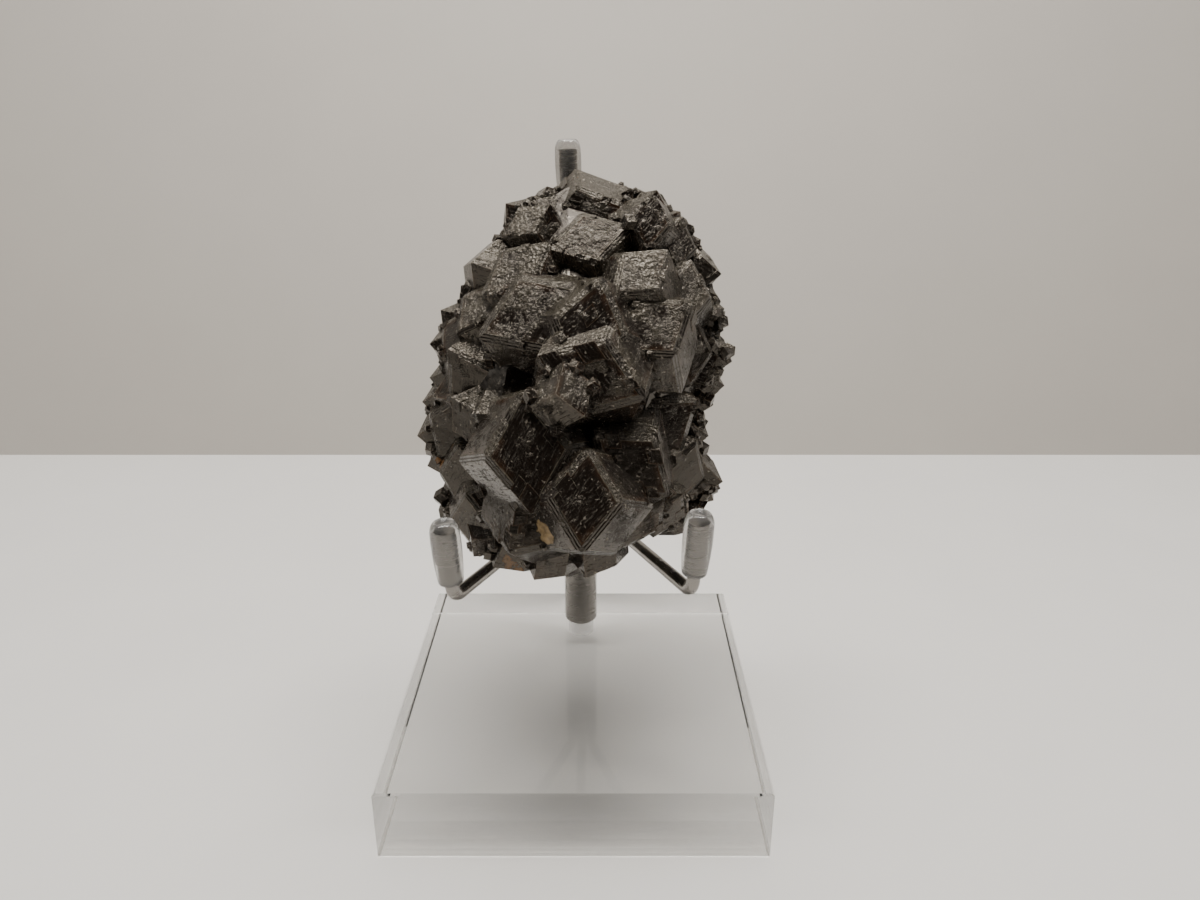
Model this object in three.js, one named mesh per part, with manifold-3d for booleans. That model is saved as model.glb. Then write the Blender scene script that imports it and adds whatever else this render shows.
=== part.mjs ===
// A garnet (andradite) crystal cluster held up by a small display stand.
// Millimetres, +Z up. The origin is the centre of the bottom of the acrylic base,
// +X is to the right and -Y is the side that the crystals are shown from.
import * as THREE from "three";
import { ConvexGeometry } from "three/addons/geometries/ConvexGeometry.js";
import { mergeVertices } from "three/addons/utils/BufferGeometryUtils.js";
import Module from "manifold-3d";

const wasm = await Module();
wasm.setup();

// Driving dimensions of the stand
const GAP = 0.3;
const BASE_SIZE = 60;
const BASE_HEIGHT = 12;
const BASE_CHAMFER = 0.3;
const POST_X = 0.2;
const POST_Y = 20.2;
const POST_DIAMETER = 6.3;
const POST_TOP = 40.6;
const POST_EDGE = 0.5;
const POST_SIDES = 28;
const STUD_DIAMETER = 4.4;
const STUD_DEPTH = 6;
const WIRE_DIAMETER = 2;
const WIRE_SIDES = 12;
const WIRE_BEND = 2.2;
const BEND_STEPS = 6;
const ARM_HEIGHT = 38.6;
const REAR_TOP = new THREE.Vector3(-1.4, 20.4, 102.7);
const SLEEVE_DIAMETER = 4.4;
const SLEEVE_LENGTH = 9.8;
const SLEEVE_WALL_END = 1.3;
const SLEEVE_ROUND = 1.2;
const ROUND_STEPS = 4;
const SLEEVE_SIDES = 22;
const DIMPLE_DIAMETER = 2;
const DIMPLE_DEPTH = 0.35;
const PRONGS = {
  left: { bend: new THREE.Vector3(-17.4, -21.8, 40.6), top: new THREE.Vector3(-18.1, -22.0, 52.9) },
  right: { bend: new THREE.Vector3(17.4, -21.8, 41.5), top: new THREE.Vector3(18.1, -22.0, 54.3) },
};

// Driving dimensions of the specimen: the rim of its inner mass, as seen from the front, and
// how that outline shrinks from its widest place towards the front and the back
const MASS_RIM = [
  [-1, 96], [8, 94], [12, 93], [15.5, 90.5], [19, 84.5], [21, 80], [22, 75], [22, 70], [19.5, 62.5],
  [19.5, 57.5], [21, 52.5], [17.5, 47], [12, 44], [5.5, 42.5], [-4.5, 41.8], [-13, 43], [-19.5, 48.5],
  [-22, 57.5], [-22, 64.5], [-20.5, 72], [-19.5, 77], [-13, 83], [-10.5, 89], [-4.5, 94],
];
const MASS_CENTRE = [0.5, 67];
const MASS_LEVELS = [[-12, 0.5], [-6, 0.78], [0, 1], [4, 0.84], [8.5, 0.48]];
const MASS_LEAN = 0.27;

// The large crystals, chosen by eye from the front. Each row is the middle of the face that
// looks forward (x, y, z), the distance from the crystal's centre to its faces, and whole
// degrees: turned to the right, tilted up, and rolled clockwise.
const CRYSTALS = [
  [2.0, -27.0, 58.4, 7.2, 2, 26, 5],
  [-5.8, -23.0, 63.6, 8.7, -6, 20, -8],
  [-3.2, -23.0, 54.5, 8.0, 8, 12, 46],
  [2.9, -20.0, 73.4, 8.0, -2, 12, -70],
  [-6.6, -11.0, 71.8, 8.7, -22, -30, -48],
  [2.6, -16.0, 79.4, 7.5, 0, 24, 13],
  [13.6, -11.0, 63.0, 7.5, 30, 12, 62],
  [8.6, -20.0, 60.5, 7.4, 16, 12, -47],
  [0.6, -22.0, 72.4, 4.0, 22, 34, -8],
  [-3.4, -21.0, 70.6, 3.0, -30, 45, 60],
  [-13.8, -10.0, 67.4, 4.2, -5, 60, 90],
  [-11.1, -12.0, 67.4, 3.6, 10, 50, 60],
  [-15.4, -7.5, 69.0, 6.0, -14, -2, -31],
  [-3.7, -10.0, 81.4, 4.3, -10, 50, -87],
  [9.9, -9.2, 85.8, 5.6, 5, 38, 50],
  [2.5, -3.2, 89.8, 6.4, -5, 40, 72],
  [2.0, 4.0, 92.0, 6.4, -3, 15, 74],
  [11.3, -2.0, 91.8, 4.6, 10, 25, 10],
  [-7.1, 2.0, 91.7, 4.4, -30, 40, 45],
  [-8.4, -5.0, 85.6, 6.5, -25, 40, 40],
  [-14.3, -3.5, 79.8, 5.5, -30, 40, 20],
  [-18.0, -3.0, 75.4, 4.6, -35, 25, 20],
  [-19.0, -7.0, 61.4, 6.0, -25, 5, 20],
  [-17.3, -11.0, 55.1, 5.4, -25, 0, 0],
  [-15.6, -14.0, 49.0, 5.4, -25, -10, 0],
  [-8.8, -18.0, 45.0, 3.8, -8, -10, 60],
  [-3.2, -18.5, 43.9, 3.8, 0, -15, 45],
  [4.0, -18.5, 45.2, 4.2, 8, -15, 30],
  [9.9, -17.0, 50.4, 6.0, 20, -15, 30],
  [18.0, -5.0, 73.1, 5.5, 30, 10, 10],
  [11.8, -12.4, 78.6, 7.0, 12, 30, 60],
  [17.4, -4.0, 82.0, 5.5, 30, 30, 20],
  [16.0, 1.0, 88.4, 4.5, 30, 25, 20],
  [17.1, -10.0, 55.1, 5.5, 30, 0, 20],
  [14.3, -12.0, 49.0, 4.8, 20, -20, 20],
];
// The small crystals along the rim, in the same form
const RIM_CRYSTALS = [
  [7.7, 7.5, 93.6, 2.6, 10, 10, 30],
  [12.5, 5.9, 92.5, 3.4, 15, 20, 10],
  [15.1, 5.9, 90.4, 2.8, 20, 20, 40],
  [16.4, 5.7, 89.2, 2.2, 20, 10, 60],
  [17.7, 4.8, 86.4, 3.0, 20, 10, 50],
  [18.5, 4.6, 84.8, 2.4, 10, 10, 70],
  [19.7, 2.9, 83.5, 3.6, 25, 5, 95],
  [20.4, 2.6, 79.6, 2.2, 20, 5, 80],
  [21.3, 1.5, 77.1, 2.8, 30, 5, 70],
  [21.4, 1.3, 75.9, 2.4, 20, 0, 100],
  [21.7, -0.8, 71.3, 2.6, 20, 0, 70],
  [21.4, -0.8, 70.4, 3.6, 20, -5, 95],
  [21.4, -1.9, 66.7, 2.6, 30, 0, 95],
  [19.7, -2.3, 64.0, 2.4, 20, 0, 100],
  [18.7, -2.9, 61.2, 2.0, 20, 0, 90],
  [18.6, -3.8, 59.1, 2.8, 20, 0, 95],
  [20.3, -6.4, 52.5, 3.6, 25, 5, 100],
  [19.9, -6.9, 50.4, 2.8, 20, -10, 120],
  [16.6, -10.1, 46.8, 3.0, 20, -10, 120],
  [-4.4, 7.2, 93.3, 3.0, -10, 20, 0],
  [-8.6, 5.8, 91.2, 3.6, -20, 20, -45],
  [-8.8, 5.2, 88.9, 3.0, -20, 10, -80],
  [-11.2, 3.4, 83.4, 3.4, -20, 20, -60],
  [-16.3, 2.3, 79.2, 3.2, -25, 20, -40],
  [-18.9, 1.2, 75.7, 3.4, -25, 15, -50],
  [-19.6, 0.1, 72.5, 3.4, -20, 10, -85],
  [-20.0, -1.9, 67.1, 3.4, -30, 0, -80],
  [-21.5, -2.8, 64.0, 3.0, -30, 0, -90],
  [-21.4, -4.2, 58.9, 3.8, -20, 0, -90],
  [-21.0, -5.6, 55.3, 3.0, -30, 0, -110],
  [-18.6, -7.0, 49.4, 3.4, -20, 0, -95],
  [-18.1, -8.9, 47.3, 3.0, -20, -10, -120],
  [-13.5, -15.5, 45.6, 3.0, -10, -20, -140],
];
const BEVEL = 1.11;
const BEVELLED_FROM = 4.3;
const BACK_CRYSTALS = 32;
const BACK_RADII = [20.5, 15.5, 28];
const BACK_CENTRE = [0.5, -1, 67.5];
const BACK_SIZES = [4.2, 7.0];

const material = (color, roughness, metalness, extra = {}) =>
  new THREE.MeshStandardMaterial({ color, roughness, metalness, ...extra });
const ACRYLIC = material("#dfe5e6", 0.05, 0, { transparent: true, opacity: 0.35 });
const STEEL = material("#b9b7b4", 0.25, 1);
const VINYL = material("#d9dcdc", 0.3, 0, { transparent: true, opacity: 0.6 });
const GARNET = material("#3a322b", 0.45, 0);

// A closed three.js geometry as a solid, and a solid as a three.js geometry
function toSolid(geometry) {
  const bare = geometry.clone();
  bare.deleteAttribute("normal");
  bare.deleteAttribute("uv");
  const merged = mergeVertices(bare, 1e-4);
  const vertProperties = new Float32Array(merged.attributes.position.array);
  const triVerts = new Uint32Array(merged.index.array);
  return new wasm.Manifold(new wasm.Mesh({ numProp: 3, vertProperties, triVerts }));
}

function toGeometry(solid) {
  const mesh = solid.getMesh();
  const geometry = new THREE.BufferGeometry();
  geometry.setAttribute("position", new THREE.BufferAttribute(mesh.vertProperties, 3));
  geometry.setIndex(new THREE.BufferAttribute(mesh.triVerts, 1));
  return geometry;
}

// A solid of revolution about +Z from [radius, height] pairs that start and end on the axis
function turned(profile, segments) {
  const points = profile.map(([radius, height]) => new THREE.Vector2(radius, height));
  return new THREE.LatheGeometry(points, segments).rotateX(Math.PI / 2);
}

function circleShape(radius, sides) {
  const points = Array.from({ length: sides }, (_, i) => {
    const angle = (i / sides) * 2 * Math.PI;
    return new THREE.Vector2(radius * Math.cos(angle), radius * Math.sin(angle));
  });
  return new THREE.Shape(points);
}

// A line from start to end with a round bend at the corner. Its parameter takes one step along
// each straight stretch and short steps round the bend.
class BentLine extends THREE.Curve {
  constructor(start, corner, end) {
    super();
    const before = corner.clone().add(start.clone().sub(corner).setLength(WIRE_BEND));
    const after = corner.clone().add(end.clone().sub(corner).setLength(WIRE_BEND));
    this.bend = new THREE.QuadraticBezierCurve3(before, corner, after);
    this.ends = [start, end];
  }

  getPoint(t, target = new THREE.Vector3()) {
    const station = t * (BEND_STEPS + 2) - 1;
    if (station < 0) {
      return target.copy(this.bend.v0).lerp(this.ends[0], -station);
    }
    if (station > BEND_STEPS) {
      return target.copy(this.bend.v2).lerp(this.ends[1], station - BEND_STEPS);
    }
    return this.bend.getPoint(station / BEND_STEPS, target);
  }

  getUtoTmapping(u) {
    return u;
  }
}

// A round wire through two or three points
function wire(points, diameter) {
  const section = circleShape(diameter / 2, WIRE_SIDES);
  const bent = points.length === 3;
  const extrudePath = bent ? new BentLine(...points) : new THREE.LineCurve3(...points);
  return new THREE.ExtrudeGeometry(section, { steps: bent ? BEND_STEPS + 2 : 1, extrudePath });
}

// Moves a piece that stands on the origin along +Z so that it runs from one point to another
function alignedTo(geometry, from, to) {
  const turn = new THREE.Quaternion().setFromUnitVectors(
    new THREE.Vector3(0, 0, 1), to.clone().sub(from).normalize());
  return geometry.applyQuaternion(turn).translate(from.x, from.y, from.z);
}

// The clear acrylic block, with the blind hole that takes the post's stud
function acrylicBase() {
  const half = BASE_SIZE / 2 - BASE_CHAMFER;
  const square = new THREE.Shape([[-half, -half], [half, -half], [half, half], [-half, half]]
    .map(([x, y]) => new THREE.Vector2(x, y)));
  const block = new THREE.ExtrudeGeometry(square, {
    depth: BASE_HEIGHT - 2 * BASE_CHAMFER,
    bevelThickness: BASE_CHAMFER,
    bevelSize: BASE_CHAMFER,
    bevelSegments: 1,
  }).translate(0, 0, BASE_CHAMFER);
  const holeDepth = STUD_DEPTH + GAP;
  const holeRadius = STUD_DIAMETER / 2 + GAP;
  const hole = new THREE.CylinderGeometry(holeRadius, holeRadius, holeDepth + 1, 32)
    .rotateX(Math.PI / 2)
    .translate(POST_X, POST_Y, BASE_HEIGHT - holeDepth + (holeDepth + 1) / 2);
  return toGeometry(toSolid(block).subtract(toSolid(hole)));
}

// The steel post, one turned piece with a thinner stud below its shoulder
function post() {
  const stud = STUD_DIAMETER / 2;
  const body = POST_DIAMETER / 2;
  const shoulder = BASE_HEIGHT + GAP;
  return turned([
    [0, BASE_HEIGHT - STUD_DEPTH], [stud, BASE_HEIGHT - STUD_DEPTH], [stud, shoulder],
    [body - POST_EDGE, shoulder], [body, shoulder + POST_EDGE],
    [body, POST_TOP - POST_EDGE], [body - POST_EDGE, POST_TOP], [0, POST_TOP],
  ], POST_SIDES).translate(POST_X, POST_Y, 0);
}

// The middle line of a front arm: from the post forwards and outwards, then up into its sleeve
function armLine({ bend, top }) {
  const hub = new THREE.Vector3(POST_X, POST_Y, ARM_HEIGHT);
  const away = bend.clone().sub(hub);
  const sideways = away.clone().setZ(0).normalize();
  const start = hub.clone().addScaledVector(sideways, POST_DIAMETER / 2 + GAP);
  const end = top.clone().addScaledVector(top.clone().sub(bend).normalize(), -SLEEVE_WALL_END - GAP);
  return [start, bend, end];
}

function frontArm(prong) {
  return wire(armLine(prong), WIRE_DIAMETER);
}

// The rear arm runs straight up from the top of the post, leaning a little to the left
function rearArmLine() {
  const start = new THREE.Vector3(POST_X, POST_Y, POST_TOP + GAP);
  const along = REAR_TOP.clone().sub(start).normalize();
  return [start, REAR_TOP.clone().addScaledVector(along, -SLEEVE_WALL_END - GAP)];
}

// A vinyl cap: a closed, rounded top with a shallow dimple, and a bore for the wire
function sleeveGeometry() {
  const outer = SLEEVE_DIAMETER / 2;
  const bore = WIRE_DIAMETER / 2 + GAP;
  const dimple = DIMPLE_DIAMETER / 2;
  const boreEnd = SLEEVE_LENGTH - SLEEVE_WALL_END;
  const profile = [[0, boreEnd], [bore, boreEnd], [bore, 0], [outer - 0.5, 0], [outer, 0.6]];
  const flat = outer - SLEEVE_ROUND;
  for (let i = 0; i <= ROUND_STEPS; i += 1) {
    const angle = (i / ROUND_STEPS) * (Math.PI / 2);
    const height = SLEEVE_LENGTH - SLEEVE_ROUND * (1 - Math.sin(angle));
    profile.push([flat + SLEEVE_ROUND * Math.cos(angle), height]);
  }
  profile.push([dimple * 0.5, SLEEVE_LENGTH - DIMPLE_DEPTH * 0.8], [0, SLEEVE_LENGTH - DIMPLE_DEPTH]);
  return turned(profile, SLEEVE_SIDES);
}

// A sleeve whose closed end lies at the end of its wire
function sleeve(from, top) {
  const along = top.clone().sub(from).normalize();
  const mouth = top.clone().addScaledVector(along, -SLEEVE_LENGTH);
  return alignedTo(sleeveGeometry(), mouth, top);
}

const SIGNS = [-1, 1];
const cubeCorners = (k) => SIGNS.flatMap((x) => SIGNS.flatMap((y) => SIGNS.map((z) =>
  new THREE.Vector3(x * k, y * k, z * k))));
const axisPoints = (k) => SIGNS.flatMap((s) => [[s * k, 0, 0], [0, s * k, 0], [0, 0, s * k]])
  .map((p) => new THREE.Vector3(...p));
const edgePoints = (k) => SIGNS.flatMap((p) => SIGNS.flatMap((q) =>
  [[p * k, q * k, 0], [p * k, 0, q * k], [0, p * k, q * k]])).map((p) => new THREE.Vector3(...p));

// The garnet form: a rhombic dodecahedron whose faces lie one unit from its centre
function plainGarnet() {
  return new ConvexGeometry([...cubeCorners(Math.SQRT1_2), ...axisPoints(Math.SQRT2)]);
}

// The same with each edge bevelled, because a trapezohedron cuts it
function bevelledGarnet() {
  const reach = BEVEL * Math.sqrt(6);
  const trapezohedron = new ConvexGeometry(
    [...cubeCorners(reach / 4), ...axisPoints(reach / 2), ...edgePoints(reach / 3)]);
  return toGeometry(toSolid(plainGarnet()).intersect(toSolid(trapezohedron)));
}

// Crystal axes to part axes: a dodecahedron face looks forwards, its long diagonal upright
const FACE_FORWARD = new THREE.Matrix4().makeBasis(
  new THREE.Vector3(0, -Math.SQRT1_2, Math.SQRT1_2),
  new THREE.Vector3(0, -Math.SQRT1_2, -Math.SQRT1_2),
  new THREE.Vector3(1, 0, 0));

function crystal(form, [x, y, z, size, turn, tilt, roll]) {
  const rad = THREE.MathUtils.degToRad;
  const pose = new THREE.Matrix4().makeRotationFromEuler(
    new THREE.Euler(-rad(tilt), rad(roll), rad(turn), "ZXY"));
  const forward = new THREE.Vector3(0, -1, 0).applyMatrix4(pose);
  const geometry = form.clone().applyMatrix4(FACE_FORWARD).scale(size, size, size).applyMatrix4(pose);
  return toSolid(geometry.translate(x - size * forward.x, y - size * forward.y, z - size * forward.z));
}

// A steady stand-in for chance: the fractional part of a multiple of an irrational number
const scatter = (index, step) => (index * step) % 1;

// The crystals that nobody sees from the front cover the back as a sunflower pattern
function backRows() {
  return Array.from({ length: BACK_CRYSTALS }, (_, i) => {
    const depth = (i + 0.5) / BACK_CRYSTALS;
    const around = i * Math.PI * (3 - Math.sqrt(5));
    const level = Math.sqrt(1 - depth * depth);
    const out = new THREE.Vector3(level * Math.cos(around), depth, level * Math.sin(around));
    const turn = THREE.MathUtils.radToDeg(Math.atan2(out.x, -out.y)) + 40 * (scatter(i, 0.618) - 0.5);
    const tilt = THREE.MathUtils.radToDeg(Math.asin(out.z)) + 40 * (scatter(i, 0.755) - 0.5);
    const size = BACK_SIZES[0] + (BACK_SIZES[1] - BACK_SIZES[0]) * scatter(i, 0.382);
    const x = BACK_CENTRE[0] + BACK_RADII[0] * out.x;
    const y = BACK_CENTRE[1] + BACK_RADII[1] * out.y + MASS_LEAN * BACK_RADII[2] * out.z;
    const z = BACK_CENTRE[2] + BACK_RADII[2] * out.z;
    return [x, y, z, size, turn, tilt, 180 * scatter(i, 0.571)];
  });
}

// The massive garnet that the crystals grew from
function innerMass() {
  const [cx, cz] = MASS_CENTRE;
  const points = MASS_LEVELS.flatMap(([y, shrink]) => MASS_RIM.map(([x, z]) =>
    new THREE.Vector3(cx + (x - cx) * shrink, y + MASS_LEAN * (z - cz) * shrink, cz + (z - cz) * shrink)));
  return toSolid(new ConvexGeometry(points));
}

// A column along a sleeve, a little wider than it
function columnRound(from, top) {
  const radius = SLEEVE_DIAMETER / 2 + GAP;
  const length = SLEEVE_LENGTH + GAP;
  const column = new THREE.CylinderGeometry(radius, radius, length, SLEEVE_SIDES)
    .rotateX(Math.PI / 2).translate(0, 0, length / 2);
  const along = top.clone().sub(from).normalize();
  return alignedTo(column, top.clone().addScaledVector(along, -SLEEVE_LENGTH), top);
}

// The room that the arms and sleeves take, with the gap round them
function standRoom() {
  const grown = WIRE_DIAMETER + 2 * GAP;
  const rear = rearArmLine();
  const pieces = [wire(rear, grown), columnRound(rear[0], REAR_TOP)];
  for (const prong of Object.values(PRONGS)) {
    pieces.push(wire(armLine(prong), grown), columnRound(prong.bend, prong.top));
  }
  return pieces.map(toSolid);
}

function specimen() {
  const plain = plainGarnet();
  const bevelled = bevelledGarnet();
  let solid = innerMass();
  for (const row of [...CRYSTALS, ...RIM_CRYSTALS]) {
    solid = solid.add(crystal(row[3] < BEVELLED_FROM ? plain : bevelled, row));
  }
  for (const row of backRows()) {
    solid = solid.add(crystal(plain, row));
  }
  for (const room of standRoom()) {
    solid = solid.subtract(room);
  }
  return toGeometry(solid);
}

function named(name, geometry, surface) {
  const mesh = new THREE.Mesh(geometry, surface);
  mesh.name = name;
  return mesh;
}

const stand = new THREE.Group();
stand.add(named("acrylic_base", acrylicBase(), ACRYLIC));
stand.add(named("post", post(), STEEL));
for (const [side, prong] of Object.entries(PRONGS)) {
  stand.add(named(`${side}_arm`, frontArm(prong), STEEL));
  stand.add(named(`${side}_sleeve`, sleeve(prong.bend, prong.top), VINYL));
}
stand.add(named("rear_arm", wire(rearArmLine(), WIRE_DIAMETER), STEEL));
stand.add(named("rear_sleeve", sleeve(rearArmLine()[0], REAR_TOP), VINYL));

const object = new THREE.Group();
object.add(stand);
object.add(named("andradite_cluster", specimen(), GARNET));

export default object;
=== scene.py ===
"""A dark garnet crystal cluster held by the three prongs of a small display stand.

Lengths are worked out in millimetres and put into the meshes in metres.
"""

import bpy
import numpy as np
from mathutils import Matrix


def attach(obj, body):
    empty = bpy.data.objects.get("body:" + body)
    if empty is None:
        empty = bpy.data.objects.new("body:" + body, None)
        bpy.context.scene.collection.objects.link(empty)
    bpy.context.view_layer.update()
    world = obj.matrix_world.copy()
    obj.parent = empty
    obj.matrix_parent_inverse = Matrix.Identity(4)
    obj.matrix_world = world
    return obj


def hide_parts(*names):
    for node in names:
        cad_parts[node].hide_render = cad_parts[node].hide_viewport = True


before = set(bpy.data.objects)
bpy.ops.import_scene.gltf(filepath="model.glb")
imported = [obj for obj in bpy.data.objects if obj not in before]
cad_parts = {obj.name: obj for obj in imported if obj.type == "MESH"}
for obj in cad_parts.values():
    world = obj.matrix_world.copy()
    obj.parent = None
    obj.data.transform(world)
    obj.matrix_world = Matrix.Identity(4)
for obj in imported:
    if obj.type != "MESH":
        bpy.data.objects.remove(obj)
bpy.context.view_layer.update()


# The acrylic block
# A square of thick clear cast acrylic, sawn, flame polished on its edges, and drilled from
# above for the post. It is as clear as glass, with a few fine scratches from handling.

def joined(tree, kind, inputs, **options):
    """Adds one node to a material: its options are set, and each named socket takes a number
    or a link from another node."""
    made = tree.nodes.new("ShaderNode" + kind)
    for name, value in options.items():
        setattr(made, name, value)
    for name, value in inputs.items():
        if isinstance(value, bpy.types.NodeSocket):
            tree.links.new(value, made.inputs[name])
        else:
            made.inputs[name].default_value = value
    return made


def started(name):
    """A new material with its tree, its main shader, and the object's own coordinates."""
    material = bpy.data.materials.new(name)
    material.use_nodes = True
    tree = material.node_tree
    shader = tree.nodes["Principled BSDF"]
    place = tree.nodes.new("ShaderNodeTexCoord").outputs["Object"]
    return material, tree, shader, place


def ranged(tree, value, low, high, to_low, to_high):
    """Carries a value from one range to another and keeps it inside the second."""
    made = joined(tree, "MapRange", {"Value": value, "From Min": low, "From Max": high,
                                     "To Min": to_low, "To Max": to_high})
    return made.outputs["Result"]


def bumped(tree, height, shader):
    """Tilts the surface by a height in metres."""
    bump = joined(tree, "Bump", {"Strength": 1.0, "Distance": 1.0, "Height": height})
    tree.links.new(bump.outputs["Normal"], shader.inputs["Normal"])


acrylic, tree, shader, place = started("clear_acrylic")
shader.inputs["Base Color"].default_value = (0.90, 0.905, 0.905, 1)
shader.inputs["IOR"].default_value = 1.49
shader.inputs["Transmission Weight"].default_value = 1.0
handling = joined(tree, "TexNoise", {"Vector": place, "Scale": 60.0, "Detail": 4.0})
tree.links.new(ranged(tree, handling.outputs["Fac"], 0.4, 0.75, 0.015, 0.06),
               shader.inputs["Roughness"])
absorption = joined(tree, "VolumeAbsorption", {"Color": (0.70, 0.72, 0.74, 1), "Density": 5.0})
tree.links.new(absorption.outputs["Volume"], tree.nodes["Material Output"].inputs["Volume"])
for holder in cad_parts["acrylic_base"].material_slots:
    holder.material = acrylic
# The table below it is lit through it
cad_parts["acrylic_base"].visible_shadow = False


# The post
# Bright steel rod, cut to length, its ends turned with a small edge, and a thinner stud below
# the shoulder that is pushed into the hole in the block. Fine turning lines run round it.
POST_FOOT = np.array([0.2, 20.2, 0.0])
POST_RADIUS = 3.15
POST_SHOULDER = 12.3
POST_TOP = 40.6
STUD_RADIUS = 2.2
STUD_END = 6.0


def cells(grid):
    """Triangles of a stack of grids, as indices into their points: each four-sided cell is
    cut along its diagonal."""
    index = np.arange(grid[..., 0].size).reshape(grid.shape[:-1])
    a, b = index[..., :-1, :-1], index[..., 1:, :-1]
    c, d = index[..., 1:, 1:], index[..., :-1, 1:]
    return np.stack([np.stack([a, b, c], -1), np.stack([a, c, d], -1)], -2).reshape(-1, 3)


def meshed(name, points, triangles, marks=None):
    """One mesh from points in millimetres. Points at the same place become one vertex, and
    triangles that shrink to a line at a pole or a seam go. Each mark is kept per corner."""
    places, vertex = np.unique(np.round(points, 4), axis=0, return_inverse=True)
    corners = vertex.reshape(-1)[triangles]
    whole = ((corners[:, 0] != corners[:, 1]) & (corners[:, 1] != corners[:, 2])
             & (corners[:, 2] != corners[:, 0]))
    mesh = bpy.data.meshes.new(name)
    mesh.from_pydata(places * 0.001, [], corners[whole])
    for label, values in (marks or {}).items():
        layer = mesh.attributes.new(label, "FLOAT_VECTOR", "CORNER")
        layer.data.foreach_set("vector", values[triangles[whole].reshape(-1)].reshape(-1))
    return mesh


def placed(name, mesh, material, slot, *nodes):
    """An object at the origin that rides on the stand and stands for the named solids."""
    piece = bpy.data.objects.new(name, mesh)
    mesh.materials.append(material)
    bpy.context.scene.collection.objects.link(piece)
    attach(piece, "root")
    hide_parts(*nodes)
    return piece


def rounded(piece, degrees):
    """Smooth shading that stops at edges sharper than the given angle."""
    piece.data.shade_smooth()
    piece.data.set_sharp_from_angle(angle=np.radians(degrees))


def revolved(profile, foot, along, sides):
    """A turned shape: each (radius, height) of the profile goes round the axis, so that a
    point is foot + height * along + radius * (cos t * right + sin t * up)."""
    along = along / np.linalg.norm(along)
    right = np.cross(along, [0.3, 1.0, 0.2])
    right = right / np.linalg.norm(right)
    up = np.cross(right, along)
    turn = np.linspace(0, 2 * np.pi, sides + 1)[None, :, None]
    radius, height = np.array(profile, float).T[:, :, None, None]
    around = np.cos(turn) * right + np.sin(turn) * up
    return foot + height * along + radius * around


def arc(centre, radius, start, end, steps):
    """Points of a profile on part of a circle, from one angle to the other in degrees."""
    angle = np.radians(np.linspace(start, end, steps))
    return np.stack([centre[0] + radius * np.cos(angle), centre[1] + radius * np.sin(angle)], 1)


post_profile = np.vstack([
    [[0, STUD_END], [STUD_RADIUS - 0.3, STUD_END]],
    arc((STUD_RADIUS - 0.3, STUD_END + 0.3), 0.3, -90, 0, 4),
    [[STUD_RADIUS, POST_SHOULDER]],
    arc((POST_RADIUS - 0.4, POST_SHOULDER + 0.4), 0.4, -90, 0, 5),
    arc((POST_RADIUS - 0.4, POST_TOP - 0.4), 0.4, 0, 90, 5),
    [[0, POST_TOP]],
])
UP = np.array([0.0, 0.0, 1.0])
post_grid = revolved(post_profile, POST_FOOT, UP, 96)

steel, tree, shader, place = started("bright_steel")
shader.inputs["Base Color"].default_value = (0.25, 0.237, 0.22, 1)
shader.inputs["Metallic"].default_value = 1.0
stretched = joined(tree, "Mapping", {"Vector": place, "Scale": (1.0, 1.0, 10.0)})
turning = joined(tree, "TexNoise", {"Vector": stretched.outputs["Vector"], "Scale": 260.0,
                                    "Detail": 5.0})
tree.links.new(ranged(tree, turning.outputs["Fac"], 0.3, 0.7, 0.20, 0.30),
               shader.inputs["Roughness"])
bumped(tree, ranged(tree, turning.outputs["Fac"], 0.3, 0.7, 0.0, 0.0000004), shader)

post_mesh = meshed("post", post_grid.reshape(-1, 3), cells(post_grid))
rounded(placed("steel_post", post_mesh, steel, "steel", "post"), 50)


# The two front arms
# Steel wire, fixed into the post below its top, run forwards and outwards below the specimen
# and bent up round a small radius to carry a sleeve.
WIRE_RADIUS = 1.0
BEND_REACH = 2.2
# Left between the post and the arms, the wires and the caps' ends, the specimen and the stand
GAP = 0.3
ARM_HUB = np.array([0.2, 20.2, 38.6])
SLEEVE_WALL_END = 1.3
PRONGS = {
    "left": (np.array([-17.4, -21.8, 40.6]), np.array([-18.1, -22.0, 52.9])),
    "right": (np.array([17.4, -21.8, 41.5]), np.array([18.1, -22.0, 54.3])),
}


def unit(vector):
    """The vector, or each vector of an array, divided by its length."""
    return vector / np.linalg.norm(vector, axis=-1, keepdims=True)


def bent_line(start, corner, end, steps):
    """A straight run, a bend that is a parabola between points BEND_REACH from the corner on
    either side, and a second straight run."""
    before = corner + BEND_REACH * unit(start - corner)
    after = corner + BEND_REACH * unit(end - corner)
    t = np.linspace(0, 1, steps)[:, None]
    bend = (1 - t) ** 2 * before + 2 * t * (1 - t) * corner + t ** 2 * after
    return np.vstack([start[None], bend, end[None]])


def carried(path, side, radii, sides):
    """A round section carried along a path that lies in one plane: a point is
    path + radius * (cos t * side + sin t * (side x tangent))."""
    tangent = unit(np.gradient(path, axis=0))
    turn = np.linspace(0, 2 * np.pi, sides + 1)[None, :, None]
    across = np.cross(side, tangent)[:, None, :]
    return path[:, None, :] + radii[:, None, None] * (np.cos(turn) * side + np.sin(turn) * across)


def arm_path(bend, top):
    """From the wall of the post out to the bend, and up to the end wall of the sleeve."""
    away = unit((bend - ARM_HUB) * [1, 1, 0])
    start = ARM_HUB + away * (POST_RADIUS + GAP)
    end = top - unit(top - bend) * (SLEEVE_WALL_END + GAP)
    return bent_line(start, bend, end, 17)


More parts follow.
